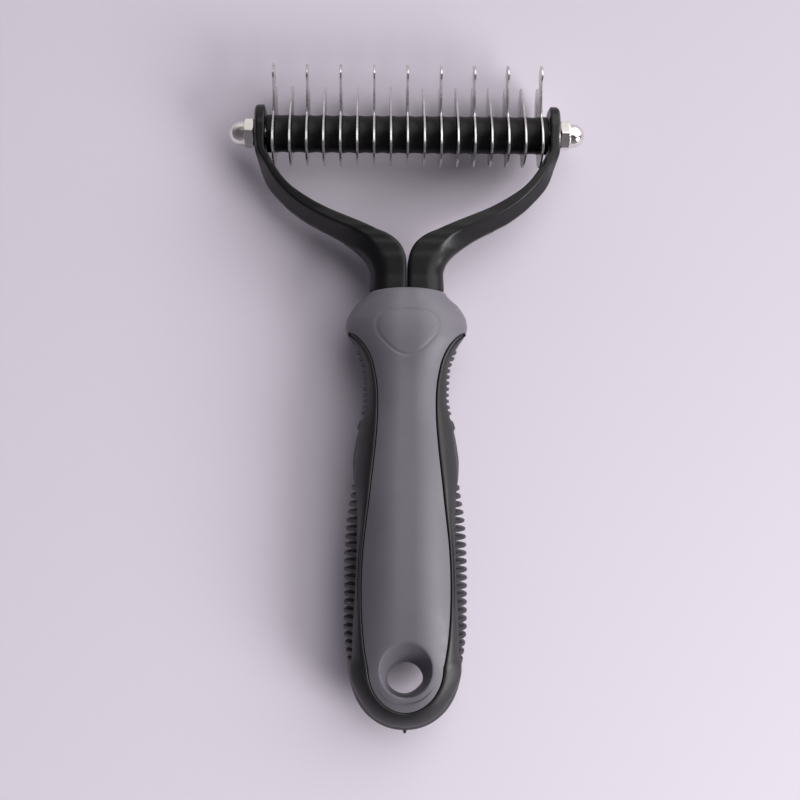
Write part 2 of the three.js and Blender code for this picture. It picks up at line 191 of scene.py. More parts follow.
def grid_faces(rows, cols, wrap=False, base=0, flip=False):
    out = []
    last = cols if wrap else cols - 1
    for r in range(rows - 1):
        for c in range(last):
            a, b = base + r * cols + c, base + r * cols + (c + 1) % cols
            q = (a, b, b + cols, a + cols)
            out.append(q[::-1] if flip else q)
    return out


def tidy(ob, merge=0.00001):
    bm = bmesh.new()
    bm.from_mesh(ob.data)
    bmesh.ops.remove_doubles(bm, verts=bm.verts, dist=merge)
    bmesh.ops.dissolve_degenerate(bm, dist=merge * 0.2, edges=bm.edges)
    bmesh.ops.recalc_face_normals(bm, faces=bm.faces)
    volume = bm.calc_volume(signed=True)
    if volume < 0:
        bmesh.ops.reverse_faces(bm, faces=bm.faces)
    bm.to_mesh(ob.data)
    bm.free()
    ob.data.polygons.foreach_set("use_smooth", [True] * len(ob.data.polygons))
    ob.data.update()
    return ob


def apply_modifiers(ob):
    bpy.context.view_layer.update()
    dg = bpy.context.evaluated_depsgraph_get()
    mesh = bpy.data.meshes.new_from_object(ob.evaluated_get(dg), depsgraph=dg)
    old = ob.data
    ob.modifiers.clear()
    ob.data = mesh
    bpy.data.meshes.remove(old)
    return ob


def sharpen(ob, degrees=35):
    """Smooth faces with hard edges kept above an angle."""
    bm = bmesh.new()
    bm.from_mesh(ob.data)
    limit = math.radians(degrees)
    for e in bm.edges:
        e.smooth = not (len(e.link_faces) == 2 and e.calc_face_angle(0) > limit)
    for f in bm.faces:
        f.smooth = True
    bm.to_mesh(ob.data)
    bm.free()
    return ob


# ------------------------------------------------------------------ materials
def material(name, build):
    m = bpy.data.materials.new(name)
    m.use_nodes = True
    nt = m.node_tree
    nt.nodes.clear()
    out = nt.nodes.new("ShaderNodeOutputMaterial")
    bsdf = nt.nodes.new("ShaderNodeBsdfPrincipled")
    nt.links.new(bsdf.outputs[0], out.inputs[0])
    build(nt, bsdf)
    return m


def node(nt, kind, **values):
    n = nt.nodes.new(kind)
    for k, v in values.items():
        if k in n.inputs:
            n.inputs[k].default_value = v
        else:
            setattr(n, k, v)
    return n


def coords(nt, scale=(1, 1, 1), name="Object"):
    c = nt.nodes.new("ShaderNodeTexCoord")
    m = nt.nodes.new("ShaderNodeMapping")
    m.inputs["Scale"].default_value = scale
    nt.links.new(c.outputs[name], m.inputs["Vector"])
    return m.outputs["Vector"]


def noise(nt, vector, scale, detail=4.0, rough=0.55, distortion=0.0):
    n = nt.nodes.new("ShaderNodeTexNoise")
    n.inputs["Scale"].default_value = scale
    n.inputs["Detail"].default_value = detail
    n.inputs["Roughness"].default_value = rough
    n.inputs["Distortion"].default_value = distortion
    nt.links.new(vector, n.inputs["Vector"])
    return n.outputs["Fac"]


def ramp(nt, fac, stops):
    r = nt.nodes.new("ShaderNodeValToRGB")
    nt.links.new(fac, r.inputs["Fac"])
    el = r.color_ramp.elements
    while len(el) > 1:
        el.remove(el[-1])
    el[0].position, el[0].color = stops[0][0], (*stops[0][1], 1)
    for pos, col in stops[1:]:
        e = el.new(pos)
        e.color = (*col, 1)
    return r.outputs["Color"]


def span(nt, fac, lo, hi, from_lo=0.3, from_hi=0.7):
    m = nt.nodes.new("ShaderNodeMapRange")
    m.inputs["From Min"].default_value = from_lo
    m.inputs["From Max"].default_value = from_hi
    m.inputs["To Min"].default_value = lo
    m.inputs["To Max"].default_value = hi
    nt.links.new(fac, m.inputs["Value"])
    return m.outputs["Result"]


def math_node(nt, op, a, b=None):
    m = nt.nodes.new("ShaderNodeMath")
    m.operation = op
    for i, s in enumerate((a, b)):
        if s is None:
            continue
        if isinstance(s, (int, float)):
            m.inputs[i].default_value = s
        else:
            nt.links.new(s, m.inputs[i])
    return m.outputs[0]


def mix_color(nt, fac, a, b):
    m = nt.nodes.new("ShaderNodeMix")
    m.data_type = "RGBA"
    for socket, value in ((m.inputs[0], fac), (m.inputs[6], a), (m.inputs[7], b)):
        if hasattr(value, "links") or hasattr(value, "is_output"):
            nt.links.new(value, socket)
        elif isinstance(value, (int, float)):
            socket.default_value = value
        else:
            socket.default_value = (*value, 1)
    return m.outputs[2]


def bump(nt, bsdf, height, strength, distance, normal=None):
    b = nt.nodes.new("ShaderNodeBump")
    b.inputs["Strength"].default_value = strength
    b.inputs["Distance"].default_value = distance
    nt.links.new(height, b.inputs["Height"])
    if normal is not None:
        nt.links.new(normal, b.inputs["Normal"])
    nt.links.new(b.outputs["Normal"], bsdf.inputs["Normal"])
    return b.outputs["Normal"]


def soft_rubber(base, dark, light, dust, rough=(0.5, 0.62), sheen=0.25, spec=0.4):
    def build(nt, bsdf):
        v = coords(nt)
        large = noise(nt, v, 55, 3, 0.5)
        fine = noise(nt, v, 1900, 3, 0.6)
        mid = noise(nt, v, 420, 4, 0.6)
        color = ramp(nt, large, [(0.3, dark), (0.5, base), (0.72, light)])
        # a few pale specks of dust on the tacky surface
        vor = nt.nodes.new("ShaderNodeTexVoronoi")
        vor.feature = "F1"
        vor.inputs["Scale"].default_value = 320
        vor.inputs["Randomness"].default_value = 1.0
        nt.links.new(v, vor.inputs["Vector"])
        near = span(nt, vor.outputs["Distance"], 1.0, 0.0, 0.05, 0.12)
        pick = nt.nodes.new("ShaderNodeSeparateColor")
        nt.links.new(vor.outputs["Color"], pick.inputs[0])
        few = math_node(nt, "GREATER_THAN", pick.outputs[0], 1 - dust)
        speck = math_node(nt, "MULTIPLY", near, few)
        color = mix_color(nt, math_node(nt, "MULTIPLY", speck, 0.55), color, (0.45, 0.43, 0.45))
        nt.links.new(color, bsdf.inputs["Base Color"])
        nt.links.new(span(nt, mid, rough[0], rough[1]), bsdf.inputs["Roughness"])
        bsdf.inputs["Specular IOR Level"].default_value = spec
        bsdf.inputs["Sheen Weight"].default_value = sheen
        bsdf.inputs["Sheen Roughness"].default_value = 0.45
        bsdf.inputs["Sheen Tint"].default_value = (0.92, 0.88, 1.0, 1)
        grain = math_node(nt, "ADD", math_node(nt, "MULTIPLY", fine, 0.7), math_node(nt, "MULTIPLY", mid, 0.3))
        bump(nt, bsdf, grain, 0.22, 0.00012)

    return build


def moulded_plastic(base, light, rough=(0.36, 0.48), spec=0.5, grain=0.12, coat=0.0):
    def build(nt, bsdf):
        v = coords(nt)
        large = noise(nt, v, 70, 4, 0.6)
        fine = noise(nt, v, 1500, 3, 0.6)
        streak = noise(nt, coords(nt, (1, 0.15, 1)), 600, 3, 0.6)
        color = ramp(nt, large, [(0.35, base), (0.7, light)])
        nt.links.new(color, bsdf.inputs["Base Color"])
        mixed = math_node(nt, "ADD", math_node(nt, "MULTIPLY", large, 0.6), math_node(nt, "MULTIPLY", streak, 0.4))
        nt.links.new(span(nt, mixed, rough[0], rough[1]), bsdf.inputs["Roughness"])
        bsdf.inputs["Specular IOR Level"].default_value = spec
        bsdf.inputs["Coat Weight"].default_value = coat
        bsdf.inputs["Coat Roughness"].default_value = 0.3
        bump(nt, bsdf, fine, grain, 0.00008)

    return build


def ground_steel(nt, bsdf):
    v = coords(nt)
    across = noise(nt, coords(nt, (1, 1, 14)), 900, 3, 0.65)
    along = noise(nt, coords(nt, (1, 10, 1)), 700, 3, 0.65)
    cloud = noise(nt, v, 160, 4, 0.6)
    color = ramp(nt, cloud, [(0.3, (0.50, 0.49, 0.49)), (0.55, (0.62, 0.61, 0.60)), (0.75, (0.72, 0.70, 0.69))])
    nt.links.new(color, bsdf.inputs["Base Color"])
    bsdf.inputs["Metallic"].default_value = 1.0
    lines = math_node(nt, "ADD", math_node(nt, "MULTIPLY", across, 0.5), math_node(nt, "MULTIPLY", along, 0.5))
    nt.links.new(span(nt, lines, 0.2, 0.36), bsdf.inputs["Roughness"])
    bump(nt, bsdf, lines, 0.1, 0.00005)


def nickel_plate(nt, bsdf):
    v = coords(nt)
    cloud = noise(nt, v, 240, 4, 0.6)
    fine = noise(nt, v, 2400, 2, 0.5)
    color = ramp(nt, cloud, [(0.3, (0.78, 0.74, 0.70)), (0.6, (0.86, 0.83, 0.79)), (0.8, (0.92, 0.89, 0.86))])
    nt.links.new(color, bsdf.inputs["Base Color"])
    bsdf.inputs["Metallic"].default_value = 1.0
    nt.links.new(span(nt, cloud, 0.1, 0.2), bsdf.inputs["Roughness"])
    bump(nt, bsdf, fine, 0.05, 0.00004)


GREY = material("grip_grey_rubber", soft_rubber((0.128, 0.12, 0.142), (0.119, 0.112, 0.133), (0.138, 0.13, 0.152), 0.02, rough=(0.44, 0.54), sheen=0.06, spec=0.6))
BLACK_SOFT = material("grip_black_rubber", soft_rubber((0.0085, 0.008, 0.0092), (0.0072, 0.0068, 0.0078), (0.0105, 0.01, 0.011), 0.04, rough=(0.4, 0.5), sheen=0.03, spec=0.55))
BLACK_HARD = material("yoke_black_plastic", moulded_plastic((0.0030, 0.0027, 0.0033), (0.0046, 0.0042, 0.0050), rough=(0.27, 0.35), spec=0.32))
SPACER = material("spacer_black_plastic", moulded_plastic((0.0026, 0.0024, 0.0028), (0.004, 0.0037, 0.0043), rough=(0.4, 0.5), spec=0.2, grain=0.08))
STEEL = material("blade_ground_steel", ground_steel)
NICKEL = material("nut_nickel_plate", nickel_plate)


def dress(ob, mat):
    ob.data.materials.clear()
    ob.data.materials.append(mat)


# ------------------------------------------------------------------ camera
D = 358.0  # camera height above the shaft plane, mm
cam_data = bpy.data.cameras.new("photo_camera")
cam_data.sensor_width = 36.0
cam_data.lens = 57.15
cam = bpy.data.objects.new("photo_camera", cam_data)
bpy.context.scene.collection.objects.link(cam)
PX = 3.55
look = np.array([(400 - 407.3 + 1.16) / PX, -(400 - 134.5) / PX, 0.0])
foot = np.array([(373 - 407.3) / PX, look[1], 0.0])
ROLL = math.radians(0.25)
eye = (foot + np.array([0, SHAFT_Y, SHAFT_Z + D])) * MM
aim = (look + np.array([0, SHAFT_Y, SHAFT_Z])) * MM
cam.location = eye
direction = Vector(aim) - Vector(eye)
forward = direction.normalized()
up = Vector((0, 1, 0))
right = forward.cross(up).normalized()
up = right.cross(forward).normalized()
right, up = right * math.cos(ROLL) + up * math.sin(ROLL), up * math.cos(ROLL) - right * math.sin(ROLL)
cam.matrix_world = Matrix((
    (right.x, up.x, -forward.x, eye[0]),
    (right.y, up.y, -forward.y, eye[1]),
    (right.z, up.z, -forward.z, eye[2]),
    (0, 0, 0, 1),
))
cam_data.clip_start = 0.01
cam_data.clip_end = 10
bpy.context.scene.camera = cam

# ------------------------------------------------------------------ grey sleeve
HOLE_C = -153.4


PAD = [(-5.9, -50.45), (-3.0, -50.1), (0.0, -50.0), (3.0, -50.1), (5.9, -50.45), (7.5, -51.6), (8.35, -53.0), (8.55, -54.5),
       (8.1, -56.2), (6.6, -58.2), (4.9, -59.9), (2.5, -61.6), (0.0, -62.25), (-2.5, -61.6), (-4.9, -59.9), (-6.6, -58.2),
       (-8.1, -56.2), (-8.55, -54.5), (-8.35, -53.0), (-7.5, -51.6)]
PAD_LINE = None


def closed_spline(points, step=0.28):
    """Smooth closed outline through the points (centripetal Catmull-Rom)."""
    P = [np.array(p, float) for p in points]
    n = len(P)
    out = []
    for i in range(n):
        p0, p1, p2, p3 = P[(i - 1) % n], P[i], P[(i + 1) % n], P[(i + 2) % n]
        t0 = 0.0
        t1 = t0 + np.linalg.norm(p1 - p0) ** 0.5
        t2 = t1 + np.linalg.norm(p2 - p1) ** 0.5
        t3 = t2 + np.linalg.norm(p3 - p2) ** 0.5
        k = max(2, int(np.linalg.norm(p2 - p1) / step))
        for t in np.linspace(t1, t2, k, endpoint=False):
            a1 = (t1 - t) / (t1 - t0) * p0 + (t - t0) / (t1 - t0) * p1
            a2 = (t2 - t) / (t2 - t1) * p1 + (t - t1) / (t2 - t1) * p2
            a3 = (t3 - t) / (t3 - t2) * p2 + (t - t2) / (t3 - t2) * p3
            b1 = (t2 - t) / (t2 - t0) * a1 + (t - t0) / (t2 - t0) * a2
            b2 = (t3 - t) / (t3 - t1) * a2 + (t - t1) / (t3 - t1) * a3
            out.append((t2 - t) / (t2 - t1) * b1 + (t - t1) / (t2 - t1) * b2)
    return np.array(out)


PAD_LINE = closed_spline(PAD, 0.2)


def pad_groove(x, y):
    """Depth of the line engraved around the thumb pad."""
    if y > -48.5 or y < -64 or abs(x) > 10:
        return 0.0
    d = math.sqrt(float(np.min((PAD_LINE[:, 0] - x) ** 2 + (PAD_LINE[:, 1] - y) ** 2)))
    return 0.22 * math.exp(-((d / 0.3) ** 2))


def front_height(x, y):
    return crown(x, y) - pad_groove(x, y)


def sleeve_mesh():
    y_top, y_join, y_patch = -43.7, -55.9, -137.0
    rows_y = list(np.linspace(y_top, y_join, 40)) + list(np.arange(-56.2, -66.0, -0.28)) + list(np.arange(-66.3, y_patch, -1.0)) + [y_patch]
    rows_y = np.array(rows_y)
    NP = 72  # columns across the panel
    u = np.sin(np.linspace(-math.pi / 2, math.pi / 2, NP + 1) * 0.93) / math.sin(math.pi / 2 * 0.93)
    verts, faces = [], []
    n_collar = 40

    def panel_edge(y):
        if y > y_join:
            return min(grip_ridge(y) * 0.97, 16.0 + (y - y_join) * 0.2)
        return float(panel_half(y))

    front = np.zeros((len(rows_y), NP + 1), int)
    back = np.zeros((len(rows_y), NP + 1), int)
    for i, y in enumerate(rows_y):
        p = panel_edge(y)
        arc = 1.05 * (1 - smooth01((y_top - y) / 5.0))
        for j, uu in enumerate(u):
            x = uu * p
            yy = y - arc * (x / 10.6) ** 2
            z = float(front_height(x, min(yy, y_top)))
            front[i, j] = len(verts)
            verts.append((x, yy, z))
            back[i, j] = len(verts)
            verts.append((x, yy, -z))
    for i in range(len(rows_y) - 1):
        for j in range(NP):
            a, b, c, d = front[i, j], front[i, j + 1], front[i + 1, j + 1], front[i + 1, j]
            faces.append((a, d, c, b))
            a, b, c, d = back[i, j], back[i, j + 1], back[i + 1, j + 1], back[i + 1, j]
            faces.append((a, b, c, d))
    # sides of the collar, from the front edge round to the back edge
    NS = 18
    for side, col in ((1, NP), (-1, 0)):
        ids = np.zeros((n_collar, NS + 1), int)
        for i in range(n_collar):
            y = rows_y[i]
            p = panel_edge(y)
            arc = 1.05 * (1 - smooth01((y_top - y) / 5.0))
            z0 = float(front_height(p, y))
            w = float(grip_wall(y))
            ids[i, 0], ids[i, NS] = front[i, col], back[i, col]
            for k in range(1, NS):
                a = math.pi / 2 - k / NS * math.pi
                # rounded flank through the panel edge and the widest point
                cz = math.sin(a)
                z = z0 * np.sign(cz) * abs(cz) ** 0.8
                x = p + (w - p) * (1 - abs(cz) ** 2.0)
                yy = y - arc * (x / 10.6) ** 2
                ids[i, k] = len(verts)
                verts.append((side * x, yy, z))
        for i in range(n_collar - 1):
            for k in range(NS):
                a, b, c, d = ids[i, k], ids[i, k + 1], ids[i + 1, k + 1], ids[i + 1, k]
                faces.append((a, d, c, b) if side > 0 else (a, b, c, d))
    # end patch around the hang hole
    cy = -150.2
    row = len(rows_y) - 1
    px = u * panel_edge(y_patch)
    top = [math.atan2(y_patch - cy, x) for x in px[::-1]]  # from right to left
    a0, a1 = top[0], top[-1]
    rest = np.linspace(a1, a0 + 2 * math.pi, 74)[1:-1]
    angles = np.array(top + list(rest))
    outline = end_outline()

    def outer(a):
        c, s = math.cos(a), math.sin(a)
        t = (y_patch - cy) / s if s > 1e-6 else 1e9
        x = c * t
        if s > 0 and abs(x) <= panel_edge(y_patch) + 1e-6:
            return x, y_patch
        return ray_hit(outline, cy, a)

    rings = []
    R = 14
    for side in (1, -1):
        grid = []
        for q, a in enumerate(angles):
            ox, oy = outer(a)
            # mouth of the funnel, seen from the front
            mx, my = 7.35 * math.cos(a), -149.0 + 8.1 * math.sin(a)
            mz = float(crown(mx, my))
            tx, ty = 5.05 * math.cos(a), HOLE_C + 5.05 * math.sin(a)
            if side < 0:
                my -= 2.1 * max(-math.sin(a), 0.0) ** 1.5
                mz = float(crown(mx, my))
            col = [(tx, ty, 0.0), (tx, ty, 1.5)]
            # throat lip, slope, mouth lip
            for s in (0.02, 0.06, 0.12, 0.22, 0.34, 0.48, 0.62, 0.75, 0.86, 0.94, 0.985):
                f = s ** 1.18
                z = 1.9 + (mz - 1.9) * s
                if s < 0.1:
                    z = 1.5 + (1.9 + (mz - 1.9) * 0.1 - 1.5) * (s / 0.1) ** 0.8
                col.append((tx + (mx - tx) * f, ty + (my - ty) * f, z - (0.0 if s < 0.9 else 0.04 * (s - 0.9) / 0.085)))
            for s in np.linspace(0, 1, R):
                e = 0.03 + 0.97 * s
                x, y = mx + (ox - mx) * e, my + (oy - my) * e
                z = sum(float(crown(x, y + d)) for d in (-1.4, -0.7, 0.0, 0.7, 1.4)) / 5 if y < y_patch - 1.5 else float(crown(x, y))
                col.append((x, y, z - 0.06 * math.exp(-s * 8)))
            grid.append([(x, y, side * z) for x, y, z in col])
        rings.append(grid)
    n = len(angles)
    m = len(rings[0][0])
    base = len(verts)
    index = np.zeros((2, n, m), int)
    for s in range(2):
        for q in range(n):
            for k in range(m):
                if s == 1 and k == 0:
                    index[s, q, k] = index[0, q, 0]
                    continue
                if k == m - 1 and q <= NP:
                    index[s, q, k] = (front if s == 0 else back)[row, NP - q]
                    continue
                index[s, q, k] = len(verts)
                verts.append(rings[s][q][k])
    for s in range(2):
        for q in range(n):
            for k in range(m - 1):
                a, b = index[s, q, k], index[s, (q + 1) % n, k]
                c, d = index[s, (q + 1) % n, k + 1], index[s, q, k + 1]
                faces.append((a, d, c, b) if s == 0 else (a, b, c, d))
    return verts, faces


def end_outline():
    """Right half of the panel's outline from y=-137 to the middle of its lower end."""
    pts = [(float(panel_half(y)), y) for y in np.arange(-137.0, -148.6, -0.8)]
    # elliptical end
    cx0, y0, w0, h0 = 0.0, -148.6, 10.3, 12.7
    for a in np.linspace(0, math.pi / 2, 40):
        e = 1.07
        pts.append((w0 * abs(math.cos(a)) ** e, y0 - h0 * abs(math.sin(a)) ** (1 / e)))
    return np.array(pts)


def ray_hit(half, cy, a):
    """Where a ray from (0, cy) meets the mirrored outline."""
    c, s = math.cos(a), math.sin(a)
    sx = 1 if c >= 0 else -1
    d = np.array([abs(c), s])
    best = None
    for (x0, y0), (x1, y1) in zip(half[:-1], half[1:]):
        ex, ey = x1 - x0, y1 - y0
        det = d[0] * -ey + d[1] * ex
        if abs(det) < 1e-12:
            continue
        rx, ry = x0, y0 - cy
        t = (rx * -ey + ry * ex) / det
        k = (d[0] * ry - d[1] * rx) / det
        if t > 0 and -1e-6 <= k <= 1 + 1e-6 and (best is None or t > best):
            best = t
    if best is None:
        x0, y0 = half[-1]
        best = abs(y0 - cy)
    return sx * best * d[0], cy + best * d[1]


v, f = sleeve_mesh()
sleeve = new_object("grey_grip_sleeve", v, f)
bm = bmesh.new()
bm.from_mesh(sleeve.data)
bmesh.ops.remove_doubles(bm, verts=bm.verts, dist=0.000004)
bmesh.ops.recalc_face_normals(bm, faces=bm.faces)
bm.to_mesh(sleeve.data)
bm.free()
s = sleeve.modifiers.new("wall", "SOLIDIFY")
s.thickness = 0.0017
s.offset = -1
s.use_even_offset = False
b = sleeve.modifiers.new("rim", "BEVEL")
b.width = 0.00042
b.segments = 3
b.limit_method = "ANGLE"
b.angle_limit = math.radians(55)
apply_modifiers(sleeve)
sharpen(sleeve, 50)
dress(sleeve, GREY)
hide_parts("grip_sleeve")
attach(sleeve, "handle")

# ------------------------------------------------------------------ black ribbed band
FAN_Y = -150.0
END_WALL = [(15.95, -147.0), (15.98, -149.2), (15.95, -150.9), (15.75, -152.5), (15.4, -154.2), (14.95, -155.9), (14.35, -157.6),
            (13.6, -159.3), (12.6, -161.0), (11.3, -162.7), (9.4, -164.5), (6.8, -166.2), (3.6, -167.35)]
_pts = END_WALL + [(0.0, -167.75)] + [(-x, y) for x, y in END_WALL[::-1]]
_loop = closed_spline(_pts + [(-8.0, -140.0), (8.0, -140.0)], 0.4)
_cut = int(np.argmin(_loop[:, 1] + np.abs(_loop[:, 0]) * 0.05))
wall_outline = np.concatenate([[[float(grip_wall(-149.0)), FAN_Y + 0.2]], _loop[(np.arange(len(_loop)) <= _cut) & (_loop[:, 0] >= 0) & (_loop[:, 1] < FAN_Y)], [[0.0, -167.75]]])
_t = np.gradient(wall_outline, axis=0)
_t /= np.linalg.norm(_t, axis=1)[:, None] + 1e-9
_in = np.stack([_t[:, 1], -_t[:, 0]], 1)
_depth = 0.55 + 0.95 * smooth01((FAN_Y - wall_outline[:, 1]) / 10)
ridge_outline = wall_outline + _in * _depth[:, None]
ridge_outline[-1] = (0.0, -167.75 + 1.5)
ridge_outline[0, 1] = FAN_Y + 0.2


def fin_rows():
    """(y, amount) down one side; amount is how far the wall follows the fins."""
    rows = [(-55.95, 0.0)]
    y = -56.8
    while y > -60.4:
        rows.append((y, 0.0))
        y -= 0.7

    def group(start, pitch, count, thick):
        h = thick / 2
        for k in range(count):
            c = start - k * pitch
            for d, amount in ((pitch / 2, 0), (h + 0.12, 0.0), (h + 0.02, 0.04), (h, 0.3), (h - 0.02, 0.72), (h - 0.09, 0.88), (h - 0.22, 0.96), (h - 0.4, 0.992), (0, 1.0),
                              (-h + 0.4, 0.992), (-h + 0.22, 0.96), (-h + 0.09, 0.88), (-h + 0.02, 0.72), (-h, 0.3), (-h - 0.02, 0.04), (-h - 0.12, 0.0)):
                rows.append((c + d, amount))
        rows.append((start - (count - 0.5) * pitch, 0.0))

    group(-61.5, 1.7, 11, 1.0)
    y = rows[-1][0] - 0.6
    while y > -97.6:
        rows.append((y, 0.0))
        y -= 0.9
    group(-99.4, 2.3, 22, 1.25)
    while rows[-1][0] > FAN_Y + 0.3:
        rows.append((max(rows[-1][0] - 0.6, FAN_Y), 0.0))
    rows = [r for r in rows if r[0] >= FAN_Y + 0.05] + [(FAN_Y, 0.0)]
    return rows


FIN_REACH = np.array([
    [-60.0, 14.4], [-61.5, 14.1], [-63.5, 13.4], [-65.8, 12.6], [-68.0, 12.3], [-74.8, 12.05],
    [-77.0, 12.4], [-79.5, 12.9], [-82.0, 13.2],
    [-98.0, 15.1], [-99.4, 15.2], [-104.1, 15.95], [-108.6, 16.65], [-115.4, 17.15], [-124.0, 17.4],
    [-131.0, 17.4], [-138.0, 17.4], [-142.4, 17.05], [-146.0, 16.6], [-149.5, 15.9],
])
fin_reach = pchip(FIN_REACH, 1)


def small_step(y):
    """A short pad below the upper fins, as wide as they are."""
    return 0.75 * smooth01((-80.3 - y) / 0.25) * (1 - smooth01((-82.6 - y) / 0.35))


def section(P, R, W, zp, zr, reach, amount, out, y_side):
    """One cross section from the front panel edge round to the back one. out is the outward unit vector in plan."""
    P, R, W, out = map(np.array, (P, R, W, out))
    pts = []
    wide = max(float(np.dot(R - P, out)), 0.05)
    pts.append((P - out * 0.12, zp - 1.5))
    pts.append((P + out * 0.16, zp - 0.9))
    pts.append((P + out * 0.2, zp - 0.42))
    pts.append((P + out * min(0.3, wide * 0.3), zp - 0.2))
    base = P + out * min(0.55, wide * 0.4)
    for s in (0.0, 0.14, 0.3, 0.46, 0.62, 0.76, 0.88):
        q = base + (R - base) * s
        z = zr + (zp - 0.12 - zr) * (1 - s ** 1.55)
        pts.append((q, z))
    pts.append((R + (W - R) * 0.0 - out * 0.02, zr - 0.1))
    pts.append((R + out * 0.1, zr - 0.35))
    n = 11
    for k in range(1, n + 1):
        s = k / n
        z = (zr - 0.35) * (1 - s)
        flank = R + out * 0.1 + (W - R - out * 0.1) * smooth01(min(1, s * 1.2)) if np.dot(W - R, out) > 0.1 else R + out * 0.1 + (W - R - out * 0.1) * s
        if y_side is not None:
            # fins swell from the ridge to the middle plane
            swell = math.sin(math.pi / 2 * min(1, s * 1.02)) ** 0.75
            add = amount * max(reach - abs(float(flank[0])), 0) * swell
            add += small_step(y_side) * smooth01(s * 2.5)
            flank = flank + out * add
        pts.append((flank, z))
    front = [(float(q[0]), float(q[1]), float(z)) for q, z in pts]
    back = [(x, y, -z) for x, y, z in front[:-1]][::-1]
    return front + back


def band_mesh():
    rows = fin_rows()
    right = []
    for y, amount in rows:
        p, r, w, zr = float(panel_half(y)), float(grip_ridge(y)), float(grip_wall(y)), float(grip_zr(y))
        p = min(p, r - 0.12)
        right.append(section((p, y), (r, y), (w, y), float(crown(p, y)), zr, float(fin_reach(y)), amount, (1, 0), y))
    outline = end_outline()
    fan = []
    N = 46
    for k in range(1, 2 * N):
        a = -k / (2 * N) * math.pi
        P = ray_hit(outline, FAN_Y, a)
        R = ray_hit(ridge_outline, FAN_Y, a)
        W = ray_hit(wall_outline, FAN_Y, a)
        out = (math.cos(a), math.sin(a))
        # lower rim of the end: as deep as the wall of the grip there
        zr = float(np.interp(W[1], [-167.9, -163, -157, FAN_Y], [3.2, 3.6, 4.3, float(grip_zr(FAN_Y))]))
        zp = float(crown(P[0], P[1]))
        fan.append(section(P, R, W, zp, zr, 0, 0, out, None))
    left = [[(-x, y, z) for x, y, z in ring] for ring in right[::-1]]
    rings = right + fan + left
    m = len(rings[0])
    verts = [p for ring in rings for p in ring]
    return verts, grid_faces(len(rings), m)


v, f = band_mesh()
band = new_object("black_ribbed_band", v, f)
bm = bmesh.new()
bm.from_mesh(band.data)
bmesh.ops.remove_doubles(bm, verts=bm.verts, dist=0.000002)
bmesh.ops.recalc_face_normals(bm, faces=bm.faces)
# faces out: the widest face must look away from the middle plane
far = max(bm.faces, key=lambda q: q.calc_center_median().x)
if far.normal.x < 0:
    bmesh.ops.reverse_faces(bm, faces=bm.faces)
bm.to_mesh(band.data)
bm.free()
s = band.modifiers.new("wall", "SOLIDIFY")
s.thickness = 0.0011
s.offset = -1
s.use_even_offset = False
apply_modifiers(band)
nub = new_object("gate_mark", *(lambda rings: ([p for r in rings for p in r], grid_faces(len(rings), 10, wrap=True) + [tuple(range(10)), tuple(range((len(rings) - 1) * 10, len(rings) * 10))[::-1]]))(
    [[(w * math.cos(k * math.pi / 5), y, h * math.sin(k * math.pi / 5)) for k in range(10)] for y, w, h in ((-167.2, 1.0, 0.8), (-167.75, 0.85, 0.7), (-168.1, 0.5, 0.5), (-168.75, 0.32, 0.3))]))
tidy(nub)
bpy.ops.object.select_all(action="DESELECT")
nub.select_set(True)
band.select_set(True)
bpy.context.view_layer.objects.active = band
bpy.ops.object.join()
sharpen(band, 60)
dress(band, BLACK_SOFT)
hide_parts("side_grip_band")
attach(band, "handle")

# ------------------------------------------------------------------ yoke
arm_in, arm_out, arm_ridge, arm_deep = (pchip(ARM, c) for c in (1, 2, 3, 4))


def arm_section(y):
    i, o, r, h = (float(g(y)) for g in (arm_in, arm_out, arm_ridge, arm_deep))
    neck = smooth01((-26.0 - y) / 10.0)
    e = min(0.4 + 0.45 * neck, h * 0.45, (r - i) * 0.45)
    rim = h * (0.34 - 0.1 * smooth01((-6 - y) / 8) + 0.12 * neck)
    if y > -5.6:
        rim = max(rim, h - 1.0) if h > 1.5 else h * 0.6
    else:
        rim = rim + (h - 1.0 - rim) * (1 - smooth01((-5.6 - y) / 5.0))
    k = 0.3
    soft = smooth01((-31.0 - y) / 6.0)
    r0 = r - 1.6 * soft
    half = [(i, 0.0)]
    for z in np.linspace(0, h - e, 5)[1:]:
        half.append((i, z))
    for a in np.linspace(0, math.pi / 2, 7)[1:]:
        half.append((i + e - e * math.cos(a), h - e + e * math.sin(a)))
    # front face
    x0, x1 = i + e, r0 - k
    for s in np.linspace(0, 1, 7)[1:-1]:
        half.append((x0 + (x1 - x0) * s, h))
    # soft ridge, then the slanted outer band
    half += [(r0 - k, h), (r0 - 0.05, h - 0.05 * (1 - soft))]
    for s in np.linspace(0.06, 1, 12):
        a = s * math.pi / 2
        x = (1 - soft) * (r + (o - r) * s ** 0.92) + soft * (r0 + (o - r0) * math.sin(a))
        z = (1 - soft) * (h + (rim - h) * s) + soft * (rim + (h - rim) * math.cos(a))
        half.append((x, z))
    for z in np.linspace(rim, 0, 4)[1:]:
        half.append((o + 0.0, z))
    ring = half + [(x, -z) for x, z in half[1:-1]][::-1]
    return [(x, y, z) for x, z in ring]


def yoke_mesh():
    ys = list(7.9 - 0.8 * (1 - np.cos(np.linspace(0, math.pi / 2, 9)))) + list(np.arange(6.9, -44.2, -0.45)) + [-44.2]
    right = [arm_section(y) for y in ys]
    verts, faces = [], []
    m = len(right[0])
    for side in (1, -1):
        base = len(verts)
        for ring in right:
            verts += [(side * x, y, z) for x, y, z in ring]
        faces += grid_faces(len(ys), m, wrap=True, base=base, flip=side < 0)
        top = [base + k for k in range(m)]
        end = [base + (len(ys) - 1) * m + k for k in range(m)]
        faces.append(tuple(top[::-1] if side > 0 else top))
        faces.append(tuple(end if side > 0 else end[::-1]))
    return verts, faces


